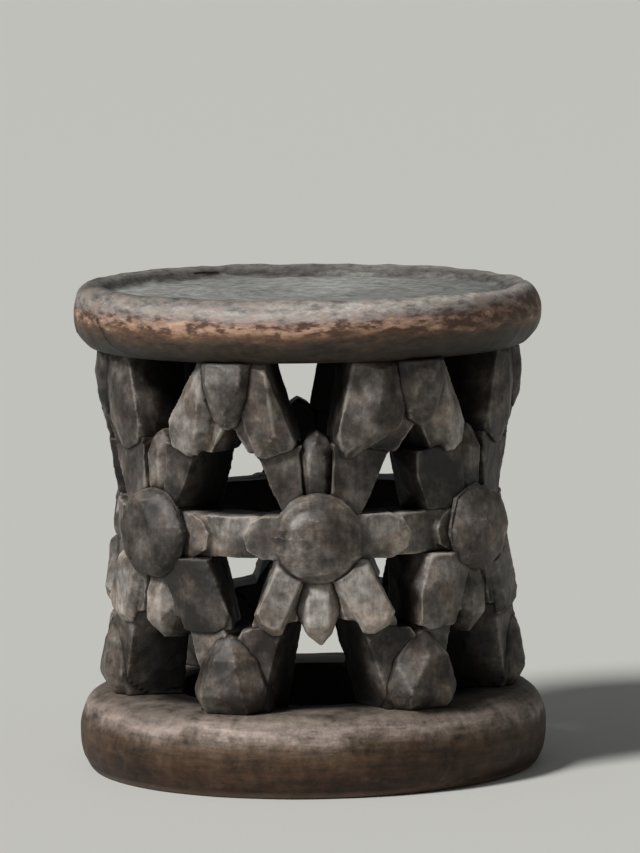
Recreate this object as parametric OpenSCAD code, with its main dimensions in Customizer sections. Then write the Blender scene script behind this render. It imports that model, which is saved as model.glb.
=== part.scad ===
// Openwork stool carved from one log: a dished seat and a hollow base joined by
// a ring of six spiders. Origin: centre of the footprint, on the floor, +Z up.
// Azimuth 0 is the front of the stool (-Y); it grows towards the right (+X).

/* [Seat] */
// Outer diameter of the seat
seat_d = 360; // [330:1:400]
// Thickness of the seat from its flat underside to the crest of the rim
seat_t = 52; // [44:1:64]
// Diameter of the flat underside that the carved ring grows from
seat_flat_d = 318; // [314:1:324]
// Width of the rolled rim, from the outer edge to the dish
rim_w = 28; // [22:1:34]
// Depth of the dish where it meets the rim
dish_edge_depth = 9; // [5:0.5:13]
// Extra depth of the dish at its centre
dish_sag = 5; // [2:0.5:9]

/* [Base] */
// Outer diameter of the base ring
base_d = 360; // [336:1:400]
// Thickness of the base ring
base_t = 61; // [46:1:72]
// Diameter of the flat top of the base
base_flat_d = 318; // [314:1:324]
// Diameter of the flat tread that stands on the floor
tread_d = 334; // [300:1:334]
// Diameter of the hollow, which is dug out of the log from below
hollow_d = 210; // [196:1:211]

/* [Carved ring] */
// Height of the carved ring between base and seat
ring_h = 261; // [230:1:290]
// Distance from the axis to the front of the plain struts
strut_r = 150; // [147:0.5:153]
// Distance from the axis to the back of the struts
strut_back_r = 107; // [105.5:0.5:110]
// How far the overlapping limbs stand proud of the plain struts
limb_proud = 7.5; // [4:0.5:9]
// How much wider the lower struts are at their back, where the openings narrow inwards
strut_flare = 10; // [0:0.5:12]
// Cut between the solids of one figure
seam = 0.2; // [0.1:0.1:0.5]

/* [Spiders] */
// Diameter of the round body
body_d = 67; // [58:1:72]
// How far the round body stands proud of the plain struts
body_proud = 17; // [11:0.5:21]
// Half width of the block behind the round body
core_half_w = 22; // [19:0.5:25]
// Half height of the block behind the round body
core_half_h = 28; // [25:0.5:31]
// Half width of the flat ends of that block, where head and tail spring from it
core_flat = 10; // [8:0.5:12]
// Height of the ring bars between the bodies
bar_h = 33; // [26:1:38]
// How far the side arms run out over the bars from the middle of the body
arm_l = 54; // [46:1:58]
// How far the side arms stand proud of the bars
arm_proud = 4.5; // [2:0.5:6]
// Length of the head above the block
head_l = 50; // [40:1:56]
// Greatest width of the head
head_w = 25; // [20:1:28]
// Length of the tail below the block
tail_l = 53; // [44:1:58]
// Greatest width of the tail
tail_w = 33; // [26:1:38]

/* [Half spiders] */
// Width of the half body under the seat
knot_w = 38; // [34:1:44]
// Height of the half body under the seat
knot_h = 50; // [42:1:56]
// How far the limbs under the seat hang down over the legs of the spiders
limb_drop = 65; // [58:1:72]
// How far the half body under the seat stands proud of the plain struts
knot_proud = 11; // [9:0.5:15]
// Width of the half body that stands on the base
foot_w = 58; // [52:1:62]
// Height of the half body that stands on the base
foot_h = 58; // [52:1:64]
// How far the limbs on the base rise to the legs of the spiders
limb_rise = 66; // [60:1:72]
// How far the half body on the base stands proud of the plain struts
foot_proud = 15; // [10:0.5:17]

/* [Hidden] */
N = 6;

// The carver set the figures out by eye: azimuths of the six spiders, and of
// the half spiders between them under the seat and on the base, where half
// spider k is to the left of spider k.
spider_az = [2, 54, 122, 183.5, 241, 310.5];
knot_az = [-22.5, 31.5, 87, 152, 213, 279];
foot_az = [-23.5, 32.5, 87, 152, 213, 279];

// The hand of the carver: no two bays are alike. Each spider has [left, right].
// Half of the open throat over the head, between the two limbs from above
throat = [[36, 26], [35, 38], [18, 18], [26, 35], [18, 18], [30, 45]];
// Where the point of the overlapping limb from above lies across the bay
upper_point = [[0.62, 0.28], [0.48, 0.45], [0.4, 0.5], [0.55, 0.4], [0.45, 0.5], [0.5, 0.55]];
// Height of that limb's inner corner over its point
upper_corner = [[12, 16], [20, 22], [12, 14], [16, 12], [14, 12], [20, 26]];
// Where the ridge of that limb runs, at its top and at its knee over the point
upper_ridge = [
    [[0.54, 0.45], [0.62, 0.52]], [[0.72, 0.62], [0.6, 0.56]], [[0.5, 0.42], [0.6, 0.5]],
    [[0.6, 0.5], [0.56, 0.46]], [[0.62, 0.5], [0.54, 0.6]], [[0.62, 0.52], [0.8, 0.7]]];
// How far across the bay the upper and the lower legs of a spider reach
upper_reach = [[0.44, 0.42], [0.9, 0.6], [0.5, 0.5], [0.5, 0.28], [0.5, 0.6], [0.6, 0.7]];
lower_reach = [[0.5, 0.5], [0.85, 0.6], [0.5, 0.5], [0.5, 0.22], [0.5, 0.5], [0.6, 0.76]];
// How much of an upper leg's reach the adze took off its front edge
upper_bevel = [[0.06, 0], [0.08, 0.1], [0, 0.1], [0.05, 0], [0, 0.08], [0.1, 0.45]];
// How much narrower the back of a leg is cut on its open side, in mm
upper_tuck = [[0, 0], [10, 0], [0, 0], [0, 0], [0, 0], [0, 16]];
lower_tuck = [[0, 0], [0, 0], [0, 0], [0, 0], [0, 0], [0, 24]];
// Ridge of the lower leg across the bay, or 0 where its face is left flat
lower_ridge = [[0, 0], [0.55, 0], [0, 0.3], [0.3, 0], [0, 0], [0, 0.4]];
// Length of the side arms over the plain one
arm_extra = [[2, 18], [-14, 4], [0, 6], [2, -4], [4, 0], [-2, -3]];
// Number of cuts round the edge of the round body
body_cuts = [64, 8, 14, 20, 12, 14];
// How far the ridge of a half spider's body wanders to the right, under the seat and on the base
knot_skew = [1, 8, 0, 4, -4, 3];
foot_skew = [0, 6, -3, 4, -4, 2];

patina = "#4b423c";
worn = "#5e4a3f";
dusty = "#5a5450";

seat_z = base_t + ring_h;
upper_lap_z = seat_z - limb_drop;
lower_lap_z = base_t + limb_rise;
spider_z = base_t + ring_h / 2;
bar_lo = spider_z - bar_h / 2;
bar_hi = spider_z + bar_h / 2;
core_lo = spider_z - core_half_h;
core_hi = spider_z + core_half_h;
far = 2 * seat_d;
body_gap = 0.3;

// A piece is drawn on the front of the stool: t to the right, r out from the
// axis, z up. facing() then turns it to its azimuth.
function p(t, r, z) = [t, -r, z];
function ring_of(outline, r) = [for (q = outline) p(q[0], r, q[1])];
module facing(az) rotate([0, 0, az]) children();

// A convex block through its corners, as the adze leaves it.
module block(points) hull() polyhedron(points, [[for (i = [0:len(points) - 1]) i]]);

// A straight-sided block with the given front outline.
module slab(outline, r_back, r_front)
    translate([0, -r_back, 0]) rotate([90, 0, 0]) linear_extrude(r_front - r_back) polygon(outline);

// Everything between two azimuths, less half a seam on either side.
module wedge(half) translate([0, -seam / 2 / sin(half), 0]) linear_extrude(2 * far) polygon([
    [0, 0], [-far * sin(half), -far * cos(half)], [0, -far], [far * sin(half), -far * cos(half)]]);

// Everything above or below a sloping line of the front view.
module beyond(z, slope, end)
    slab([[-far, z + far * slope], [-far, end], [far, end], [far, z - far * slope]], 0, far);
module above(z, slope) beyond(z, slope, far);
module below(z, slope) beyond(z, slope, -far);

// Base and seat

module base() color(worn) rotate_extrude($fn = 96) polygon(base_profile());

function arc(c, rx, rz, from, to, steps) =
    [for (i = [0:steps]) let (a = from + (to - from) * i / steps) c + [rx * cos(a), rz * sin(a)]];

// The rounded edge springs from the tread and dies into the flat top.
function base_profile() = let (belly = base_t * 0.46, edge = base_d / 2) concat(
    [[hollow_d / 2, 0], [tread_d / 2, 0]],
    arc([tread_d / 2, belly], edge - tread_d / 2, belly, -70, 0, 5),
    arc([base_flat_d / 2, belly], edge - base_flat_d / 2, base_t - belly, 14, 90, 6),
    [[hollow_d / 2, base_t]]
);

module seat() color(dusty) rotate_extrude($fn = 96) polygon(seat_profile());

function seat_profile() =
    let (
        edge = seat_d / 2,
        belly = seat_z + seat_t * 0.5,
        top = seat_z + seat_t,
        crest = edge - rim_w * 0.5,
        dish = edge - rim_w,
        floor_edge = top - dish_edge_depth
    ) concat(
    [[0, seat_z], [seat_flat_d / 2, seat_z]],
    arc([seat_flat_d / 2, belly], edge - seat_flat_d / 2, belly - seat_z, -76, 0, 5),
    arc([crest, belly], edge - crest, top - belly, 15, 90, 5),
    arc([crest, floor_edge], dish - crest, dish_edge_depth, 75, 15, 4),
    [for (i = [0:4]) let (f = 1 - i / 4) [dish * f, floor_edge - dish_sag * (1 - f * f)]]
);

// Spiders

// The block that the eight limbs grow from, one on each of its faces.
function core_outline() = [
    [-core_half_w, bar_lo], [-core_flat, core_lo], [core_flat, core_lo], [core_half_w, bar_lo],
    [core_half_w, bar_hi], [core_flat, core_hi], [-core_flat, core_hi], [-core_half_w, bar_hi]];

module core() slab(core_outline(), strut_back_r, strut_r);

// The round body is a low dome with a worn edge, cut round to a few sides.
module spider_body(k) color(patina) facing(spider_az[k]) {
    core();
    translate([0, -strut_r, spider_z]) rotate([90, 0, 0]) rotate_extrude($fn = body_cuts[k]) polygon([
        [0, 0], [body_d / 2, 0], [body_d / 2, body_proud * 0.5], [body_d * 0.46, body_proud * 0.78],
        [body_d * 0.38, body_proud * 0.93], [body_d * 0.2, body_proud], [0, body_proud]]);
}

// What every limb leaves free for the body of its spider.
module body_room(k) {
    core();
    translate([0, -strut_r, spider_z]) rotate([90, 0, 0])
        cylinder(d = body_d + 2 * body_gap / cos(180 / body_cuts[k]), h = far, $fn = body_cuts[k]);
}

// Head and tail are buds: how far their backs lie before the backs of the
// struts, and how deep the bevel round their front is.
bud_back = 8;
bud_bevel = 5;

function head_outline() = let (w = head_w / 2, z = core_hi, l = head_l) [
    [-core_flat, z], [-w, z + 0.72 * l], [-0.6 * w, z + 0.9 * l], [0.1 * w, z + l],
    [0.7 * w, z + 0.9 * l], [w, z + 0.72 * l], [core_flat, z]];

module spider_head(k) color(patina) facing(spider_az[k]) difference() {
    neck = core_flat / 2;
    brow = head_w / 4;
    brow_z = core_hi + 0.63 * head_l;
    block(concat(
        ring_of(head_outline(), strut_back_r + bud_back),
        ring_of(head_outline(), strut_r - bud_bevel),
        [p(-neck, strut_r + 2, core_hi), p(neck, strut_r + 2, core_hi)],
        [p(-brow, strut_r + 4, brow_z), p(brow, strut_r + 4, brow_z)],
        [p(0, strut_r + 1, core_hi + 0.86 * head_l)]
    ));
    body_room(k);
}

function tail_outline() = let (w = tail_w / 2, z = core_lo, l = tail_l) [
    [-core_flat, z], [-w, z - 0.5 * l], [-0.55 * w, z - 0.84 * l], [0.1 * w, z - l],
    [0.6 * w, z - 0.84 * l], [w, z - 0.46 * l], [core_flat, z]];

module spider_tail(k) color(patina) facing(spider_az[k]) difference() {
    waist = 0.7 * core_flat;
    flat = 0.23 * tail_w;
    front = strut_r + 6;
    block(concat(
        ring_of(tail_outline(), strut_back_r + bud_back),
        ring_of(tail_outline(), strut_r - bud_bevel),
        [p(-waist, strut_r, core_lo), p(waist, strut_r, core_lo)],
        [for (z = [core_lo - 0.3 * tail_l, core_lo - 0.7 * tail_l], t = [-flat, flat]) p(t, front, z)]
    ));
    body_room(k);
}

// Bays: each spider has one on either side, out to the next half spider. A bay
// is drawn with its spider on the left; the one to the left is mirrored.

function knot_at(k) = knot_az[k % N] + (k >= N ? 360 : 0);
function bay_half(k, side) = (side > 0 ? knot_at(k + 1) - spider_az[k] : spider_az[k] - knot_at(k)) / 2;
function bay_mid(k, side) = spider_az[k] + side * bay_half(k, side);

// Across the bay, u runs from 0 at the spider to 1 at the half spider.
function across(u, half) = strut_r * sin((2 * u - 1) * half);
function bay_outline(uz, half) = [for (q = uz) [across(q[0], half), q[1]]];
// The same outline at the back of a strut: narrower bay, wider strut.
function bay_back(uz, half, middle, flare, tuck) = [for (q = uz)
    [across(q[0], half) * strut_back_r / strut_r + (q[0] < middle ? -flare : flare - tuck), q[1]]];
function hand(table, k, side) = table[k][side > 0 ? 1 : 0];

module in_bay(k, side) facing(bay_mid(k, side)) mirror([side > 0 ? 0 : 1, 0, 0]) children();

// A strut of a bay, kept inside its bay. Past the middle a bevel narrows its
// front and a tuck its back.
module bay_strut(uz, half, middle, flare, tuck = 0, bevel = 0) intersection() {
    front = [for (q = uz) q[0] < middle ? q : [q[0] - bevel, q[1]]];
    block(concat(
        ring_of(bay_back(uz, half, middle, flare, tuck), strut_back_r),
        ring_of(bay_outline(front, half), strut_r)
    ));
    wedge(half);
}

// A limb that lies over the strut behind it: a low edge, then facets up to its
// crest, whose points have the share of limb_proud that they stand out.
leaf_edge = 0.35;

module bay_leaf(uz, half, crest) intersection() {
    outline = bay_outline(uz, half);
    block(concat(
        ring_of(outline, strut_r),
        ring_of(outline, strut_r + leaf_edge * limb_proud),
        [for (c = crest) p(across(c[0], half), strut_r + c[2] * limb_proud, c[1])]
    ));
    wedge(half);
}

// A flat crest: the outline drawn in towards a point of its middle.
leaf_chamfer = 0.2;
function flat_crest(uz, middle) = [for (q = uz) concat(q + leaf_chamfer * (middle - q), [1])];

// The limb from above laps over the limb from below, on each diagonal. Struts
// are drawn lap_room past the lap and then cut off on its sloping line.
lap_slope = 0.16;
lap_room = 15;
upper_flare = 1;

// Leg from the spider up to the lap.
module upper_leg(half, reach, tuck, bevel) difference() {
    end_z = upper_lap_z + lap_room;
    knee_z = (bar_hi + upper_lap_z) / 2;
    bay_strut([
        [0, bar_hi], [reach, bar_hi], [reach + 0.18, knee_z],
        [reach + 0.4, end_z], [0.2, end_z], [0, knee_z]
    ], half, 0.3, upper_flare, tuck, bevel);
    above(upper_lap_z, lap_slope);
}

// The head stands between the two upper legs.
module spider_upper_legs(k) color(patina) difference() {
    for (side = [-1, 1]) in_bay(k, side) upper_leg(
        bay_half(k, side), hand(upper_reach, k, side),
        hand(upper_tuck, k, side), hand(upper_bevel, k, side)
    );
    facing(spider_az[k]) {
        body_room(k);
        head_room();
    }
}

module head_room() slab(head_outline(), 0, far);

// Leg from the spider down over the limb that rises from the base.
module lower_leg(half, reach, tuck, ridge) {
    end_z = lower_lap_z - lap_room;
    hip_z = core_lo + core_half_h * 0.35;
    leg_h = hip_z - lower_lap_z;
    leaf = [
        [0.04, hip_z], [reach - 0.04, bar_lo], [reach + 0.24, lower_lap_z + 0.17 * leg_h],
        [reach + 0.18, lower_lap_z - 0.04 * leg_h], [reach + 0.02, lower_lap_z - 0.17 * leg_h],
        [0.42, lower_lap_z - 0.15 * leg_h], [0.2, lower_lap_z + 0.66 * leg_h]
    ];
    difference() {
        bay_strut([
            [0, bar_lo], [reach, bar_lo], [reach + 0.28, lower_lap_z],
            [reach + 0.2, end_z], [0.34, end_z], [0.12, lower_lap_z + 0.62 * leg_h]
        ], half, 0.4, strut_flare, tuck);
        below(lower_lap_z, lap_slope);
    }
    crest = [
        [ridge, bar_lo, 1], [ridge + 0.1, lower_lap_z + 0.25 * leg_h, 1], [ridge + 0.2, lower_lap_z, 0.7]];
    flat = flat_crest(leaf, [reach - 0.08, lower_lap_z + leg_h / 2]);
    bay_leaf(leaf, half, ridge > 0 ? crest : flat);
}

// The tail hangs between the two lower legs.
module spider_lower_legs(k) color(patina) difference() {
    for (side = [-1, 1]) in_bay(k, side) lower_leg(
        bay_half(k, side), hand(lower_reach, k, side),
        hand(lower_tuck, k, side), hand(lower_ridge, k, side)
    );
    facing(spider_az[k]) {
        body_room(k);
        slab(tail_outline(), 0, far);
    }
}

// Ring bars, each with the side arms of the two spiders that it joins

function arm_outline(l) = [
    [0, bar_lo], [l - 15, bar_lo], [l - 3, bar_lo + 0.2 * bar_h], [l, bar_lo + 0.55 * bar_h],
    [l - 6, bar_lo + 0.86 * bar_h], [l - 16, bar_hi], [0, bar_hi]];

// Arms lean back along the curve of the ring, from the spider towards the bar,
// so many degrees for each mm of their length, and stand a step above and below it.
arm_lean = 0.22;
arm_step = 1;
arm_back = 6;

module side_arm(k, side) {
    l = arm_l + hand(arm_extra, k, side);
    lean = arm_lean * l;
    facing(side * lean) mirror([side > 0 ? 0 : 1, 0, 0])
        translate([-strut_r * sin(lean), 0, 0]) slab(arm_outline(l), strut_back_r + arm_back, strut_r);
}

// Plan of a bar, from the axis of one spider to that of the next: flat faces,
// front and back, none of them wider than this angle.
bar_face_az = 28;

function bar_edge(r, span, faces) = let (corner_r = r / cos(span / faces / 2))
    [for (i = [0:faces]) let (az = span * (i / faces - 0.5)) corner_r * [sin(az), -cos(az)]];

function bar_plan(span) = let (
    faces = ceil(span / bar_face_az),
    front = bar_edge(strut_r - arm_proud, span, faces),
    back = bar_edge(strut_back_r, span, faces)
) concat(front, [for (i = [faces:-1:0]) back[i]]);

module ring_bar(k) color(patina) {
    left_az = spider_az[k];
    right_az = k + 1 < N ? spider_az[k + 1] : spider_az[0] + 360;
    difference() {
        union() {
            facing((left_az + right_az) / 2) translate([0, 0, bar_lo + arm_step])
                linear_extrude(bar_h - 2 * arm_step) polygon(bar_plan(right_az - left_az));
            facing(left_az) side_arm(k, 1);
            facing(right_az) side_arm((k + 1) % N, -1);
        }
        for (az = [left_az, right_az]) facing(az)
            slab([[-core_half_w, 0], [core_half_w, 0], [core_half_w, far], [-core_half_w, far]], 0, far);
    }
}

// Half spiders under the seat: a wedge of a body with two drooping limbs

function knot_outline(grow, taper = 1) =
    let (w = (knot_w / 2 + grow) * taper, z = seat_z, l = knot_h + grow) [
        [-w, z + grow], [w, z + grow], [0.86 * w, z - 0.5 * l], [0.36 * w, z - 0.94 * l],
        [0, z - l], [-0.5 * w, z - 0.88 * l], [-0.9 * w, z - 0.4 * l]];

// The body, or what the limbs leave free for it when it grows by a seam.
module knot_body(skew, grow = 0) {
    left = -0.3 * knot_w - grow;
    right = 0.36 * knot_w + grow;
    front = strut_r + knot_proud + grow;
    block(concat(
        ring_of(knot_outline(grow, strut_back_r / strut_r), strut_back_r - grow),
        ring_of(knot_outline(grow), strut_r + 0.7 * limb_proud),
        [for (t = [left, right]) p(t, front - 2, seat_z + grow)],
        [for (t = [left + 0.6 * skew, right]) p(t, front, seat_z - 0.3 * knot_h)],
        [p(skew, front - 1, seat_z - 0.74 * knot_h)]
    ));
}

// A limb from the half spider down over the leg that rises from the spider. Its
// point hangs a little past the lap.
limb_lap = 6;

module drooping_limb(half, gap, point, corner, ridge) {
    inner = gap / (strut_r * sin(2 * half));
    tip_z = upper_lap_z - limb_lap;
    limb_h = seat_z - tip_z;
    low = point < 0.4 ? point - 0.1 : inner * 0.4;
    difference() {
        bay_strut([
            [inner, seat_z], [low, tip_z + corner], [low, tip_z - limb_lap],
            [0.7, tip_z - limb_lap], [1, tip_z + 0.37 * limb_h], [1, seat_z]
        ], half, 0.5, upper_flare);
        below(upper_lap_z, lap_slope);
    }
    bay_leaf([
        [inner, seat_z - seam], [low, tip_z + corner], [low + 0.04, tip_z + 0.1 * limb_h],
        [point - 0.05, tip_z], [point + 0.06, tip_z], [0.8, tip_z + 0.28 * limb_h],
        [0.92, seat_z - 0.28 * limb_h], [0.84, seat_z - seam]
    ], half, [
        [ridge[0], seat_z - 0.1 * limb_h, 0.9], [(ridge[0] + ridge[1]) / 2, seat_z - 0.4 * limb_h, 1.1],
        [ridge[1], tip_z + 0.26 * limb_h, 1], [point, tip_z + 0.06 * limb_h, 0.6]
    ]);
}

module seat_half_spider(k) color(patina) {
    before = (k + N - 1) % N;
    facing(knot_az[k]) knot_body(knot_skew[k]);
    difference() {
        for (bay = [[before, 1], [k, -1]]) in_bay(bay[0], bay[1]) drooping_limb(
            bay_half(bay[0], bay[1]),
            hand(throat, bay[0], bay[1]),
            hand(upper_point, bay[0], bay[1]),
            hand(upper_corner, bay[0], bay[1]),
            hand(upper_ridge, bay[0], bay[1])
        );
        facing(knot_az[k]) knot_body(knot_skew[k], seam);
        facing(spider_az[before]) head_room();
        facing(spider_az[k]) head_room();
    }
}

// Half spiders on the base: a dome of a body with two rising limbs

function foot_outline(grow, taper = 1) =
    let (w = (foot_w / 2 + grow) * taper, z = base_t, l = foot_h + grow) [
        [-w, z - grow], [w, z - grow], [w, z + 0.3 * l], [0.75 * w, z + 0.66 * l],
        [0.3 * w, z + 0.92 * l], [0, z + l], [-0.36 * w, z + 0.92 * l], [-0.8 * w, z + 0.64 * l],
        [-w, z + 0.3 * l]];

module foot_body(skew, grow = 0) {
    skirt = 0.36 * foot_w + grow;
    cheek = 0.28 * foot_w + grow;
    brow = 0.14 * foot_w + grow;
    front = strut_r + foot_proud + grow;
    block(concat(
        ring_of(foot_outline(grow, strut_back_r / strut_r), strut_back_r - grow),
        ring_of(foot_outline(grow), strut_r + 2),
        [for (t = [-skirt, skirt]) p(t, front - 3, base_t - grow)],
        [for (t = [-cheek, cheek]) p(t - 0.7 * skew, front, base_t + 0.24 * foot_h)],
        [for (t = [-brow, brow]) p(t + skew, front - 4, base_t + 0.7 * foot_h)]
    ));
}

// A limb from the half spider up to the lap, under the leg from the spider.
module rising_limb(half) intersection() {
    end_z = lower_lap_z + lap_room;
    bay_strut([
        [0.36, end_z], [0.74, end_z], [1, base_t + 0.76 * limb_rise], [1, base_t], [0.7, base_t]
    ], half, 0.71, strut_flare);
    below(lower_lap_z, lap_slope);
}

module foot_half_spider(k) color(patina) {
    before = (k + N - 1) % N;
    facing(foot_az[k]) foot_body(foot_skew[k]);
    difference() {
        for (bay = [[before, 1], [k, -1]]) in_bay(bay[0], bay[1]) rising_limb(bay_half(bay[0], bay[1]));
        facing(foot_az[k]) foot_body(foot_skew[k], seam);
    }
}

base();
seat();
for (k = [0:N - 1]) {
    spider_body(k);
    spider_head(k);
    spider_tail(k);
    spider_upper_legs(k);
    spider_lower_legs(k);
    ring_bar(k);
    seat_half_spider(k);
    foot_half_spider(k);
}
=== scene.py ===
"""A round stool carved from one log: a hollow base, a pierced ring of spiders and a dished seat.
Lengths in the shapes are in millimetres, and turn into metres where they go into a mesh.
Azimuth 0 is the front of the stool (-Y) and grows towards the right (+X)."""

import math

import bpy
import numpy as np
from mathutils import Matrix, Vector


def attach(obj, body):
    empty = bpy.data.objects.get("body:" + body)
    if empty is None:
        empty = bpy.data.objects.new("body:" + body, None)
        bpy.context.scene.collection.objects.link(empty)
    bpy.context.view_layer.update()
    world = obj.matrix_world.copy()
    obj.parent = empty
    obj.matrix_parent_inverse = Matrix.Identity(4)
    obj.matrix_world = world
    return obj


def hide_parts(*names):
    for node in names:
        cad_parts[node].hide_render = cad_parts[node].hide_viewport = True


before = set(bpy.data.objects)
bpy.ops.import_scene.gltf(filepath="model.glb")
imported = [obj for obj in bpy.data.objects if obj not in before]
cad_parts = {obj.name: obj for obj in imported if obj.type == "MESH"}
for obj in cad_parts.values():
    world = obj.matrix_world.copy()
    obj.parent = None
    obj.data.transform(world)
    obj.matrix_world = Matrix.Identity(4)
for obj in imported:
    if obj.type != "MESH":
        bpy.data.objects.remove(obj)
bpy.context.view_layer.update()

# Base. The log's foot, one thick ring of hardwood with a rounded edge. It is shaped with an adze,
# whose hollows still show, dug out from below, and rubbed brown by floors and feet.

base_r = 180
base_t = 61
base_belly = 28
base_flat_r = 159
tread_r = 167
hollow_r = 105
edge_r = 3
base_row = 2.0
columns = 560
mm = 0.001


def arc(middle, radii, start, end):
    """Part of an ellipse from one angle to another, in degrees."""
    angle = np.radians(np.linspace(start, end, 24))
    return np.stack([middle[0] + radii[0] * np.cos(angle), middle[1] + radii[1] * np.sin(angle)], axis=1)


def curve_through(pieces, step):
    """Joins pieces of a profile and spaces its points evenly, a step apart."""
    path = np.vstack(pieces)
    along = np.concatenate([[0], np.cumsum(np.hypot(*np.diff(path, axis=0).T))])
    even = np.linspace(0, along[-1], round(along[-1] / step) + 1)
    return np.stack([np.interp(even, along, path[:, axis]) for axis in range(2)], axis=1)


profile = curve_through([
    arc((hollow_r + edge_r, edge_r), (edge_r, edge_r), 180, 270),
    arc((tread_r, base_belly), (base_r - tread_r, base_belly), -90, 0),
    arc((base_flat_r, base_belly), (base_r - base_flat_r, base_t - base_belly), 0, 90),
    arc((hollow_r + edge_r, base_t - edge_r), (edge_r, edge_r), 90, 180),
    [(hollow_r, edge_r)],
], base_row)[:-1]


def turned(profile, closed):
    """A profile of (radius, height) rows turned round the axis: every row becomes a circle of points
    at radius x sine and radius x cosine of the azimuth. Gives the points and the faces. A closed
    profile makes a ring; an open one starts and ends on the axis."""
    azimuth = np.linspace(-math.pi, math.pi, columns, endpoint=False)
    rows = profile if closed else profile[1:-1]
    radius, height = rows[:, 0:1], rows[:, 1:2]
    grid = np.stack([radius * np.sin(azimuth), -radius * np.cos(azimuth), height + 0 * azimuth], axis=2)
    number = np.arange(grid.shape[0] * columns).reshape(-1, columns)
    below = np.vstack([number, number[:1]]) if closed else number
    low, high = below[:-1], below[1:]
    quads = np.stack([low, np.roll(low, -1, 1), np.roll(high, -1, 1), high], axis=2).reshape(-1, 4)
    points = grid.reshape(-1, 3)
    if closed:
        return points, quads.tolist()
    start, end = len(points), len(points) + 1
    points = np.vstack([points, [0, 0, profile[0, 1]], [0, 0, profile[-1, 1]]])
    caps = [np.stack([np.full(columns, start), np.roll(number[0], -1), number[0]], axis=1),
            np.stack([np.full(columns, end), number[-1], np.roll(number[-1], -1)], axis=1)]
    return points, [*quads.tolist(), *np.vstack(caps).tolist()]


def mesh_of(name, points, faces):
    """A smooth-shaded mesh from points in mm and rows of corner numbers."""
    mesh = bpy.data.meshes.new(name)
    mesh.from_pydata(points * mm, [], faces)
    mesh.shade_smooth()
    return mesh


def normals_of(mesh):
    """The unit normal of every vertex."""
    normals = np.empty(len(mesh.vertices) * 3, np.float32)
    mesh.vertex_normals.foreach_get("vector", normals)
    return normals.reshape(-1, 3).astype(float)


points, faces = turned(profile, closed=True)
mesh = mesh_of("base_ring", points, faces)
out = normals_of(mesh)


def fade(value, start, end):
    """0 as far as start, 1 from end on, and straight in between. End may be the lower of the two."""
    return np.clip((value - start) / (end - start), 0, 1)


def bell(value, middle, width):
    """1 at the middle and falling off on both sides, as e to the minus square of widths away."""
    return np.exp(-((value - middle) / width) ** 2)


def hashed(cell, seed):
    """A number from 0 to 1 for each whole-number cell: three odd factors mixed, then folded twice."""
    whole = cell.astype(np.int64).astype(np.uint32)
    mixed = whole[:, 0] * 73856093 ^ whole[:, 1] * 19349663 ^ whole[:, 2] * 83492791
    mixed = (mixed + np.uint32(seed * 40503)) * np.uint32(2654435761)
    mixed = (mixed ^ mixed >> 15) * np.uint32(2246822519)
    return (mixed ^ mixed >> 13) % 65521 / 65521


def swell(points, size, seed):
    """Smooth noise from -1 to 1: random values on a cubic grid of the given size, eased in between."""
    place = points / size
    corner = np.floor(place)
    ease = place - corner
    ease = ease * ease * (3 - 2 * ease)
    total = np.zeros(len(points))
    for step in np.ndindex(2, 2, 2):
        share = np.where(step, ease, 1 - ease).prod(axis=1)
        total += share * hashed(corner + step, seed)
    return 2 * total - 1


def waves(points, rows):
    """The sum of swells, given as rows of height, size and seed."""
    return sum(height * swell(points, size, seed) for height, size, seed in rows)


def tool_marks(points, size, seed, bowl, lean, sunk):
    """Hollows that a tool leaves, one round a random middle in every cubic cell of the given size.
    The surface lies sunk mm deep at a middle, rises from there by bowl times the squared distance in
    sizes, which counts up to 0.6, and leans each hollow's own way by lean."""
    place = points / size
    corner = np.floor(place)
    nearest = np.full(len(points), 9.0)
    tilt = np.zeros(len(points))
    for step in np.ndindex(3, 3, 3):
        cell = corner + step - 1
        away = place - cell - np.stack([hashed(cell, seed + axis) for axis in range(3)], axis=1)
        gap = (away ** 2).sum(axis=1)
        slope = np.stack([hashed(cell, seed + 3 + axis) for axis in range(3)], axis=1) - 0.5
        tilt = np.where(gap < nearest, (away * slope).sum(axis=1), tilt)
        nearest = np.minimum(gap, nearest)
    return bowl * np.minimum(nearest, 0.6) + lean * tilt - sunk


def move(mesh, points):
    """Gives the mesh's points new places."""
    mesh.vertices.foreach_set("co", (points * mm).ravel())


# roll is the angle round the edge, from about -75 at the tread to 90 on top, and shoulder the ridge
# that the last strokes left along it. What is cut away is least in the hollow and none at the floor.
shoulder, shoulder_width, shoulder_height = 56, 12, 0.9
adze_size = 34
adze_squash = (1, 1, 1.4)
base_cut = 1.0
least_cut = 0.05
hollow_share = 0.35
wander_by = 10
reach = np.hypot(points[:, 0], points[:, 1])
roll = np.degrees(np.arctan2(points[:, 2] - base_belly, reach - base_flat_r))
side = fade(reach, base_flat_r - 6, base_flat_r + 6)
wander = wander_by * swell(points * (1, 1, 0), 60, 4)
rough = waves(points, [(0.8, 75, 1), (0.6, 26, 2), (0.3, 9, 3)]) - base_cut
rough += side * tool_marks(points * adze_squash, adze_size, 11, bowl=1.3, lean=0.3, sunk=0.4)
rough += shoulder_height * bell(roll + wander, shoulder, shoulder_width)
rough = np.minimum(rough * (hollow_share + (1 - hollow_share) * side), -least_cut) * fade(points[:, 2], 0, 6)
points = points + out * rough[:, None]
move(mesh, points)


def azimuth_of(points):
    """Azimuth of each point in degrees."""
    return np.degrees(np.arctan2(points[:, 0], -points[:, 1]))


def ends_of(mesh):
    """The two vertex numbers of every edge."""
    ends = np.empty(len(mesh.edges) * 2, np.int32)
    mesh.edges.foreach_get("vertices", ends)
    return ends.reshape(-1, 2)


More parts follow.
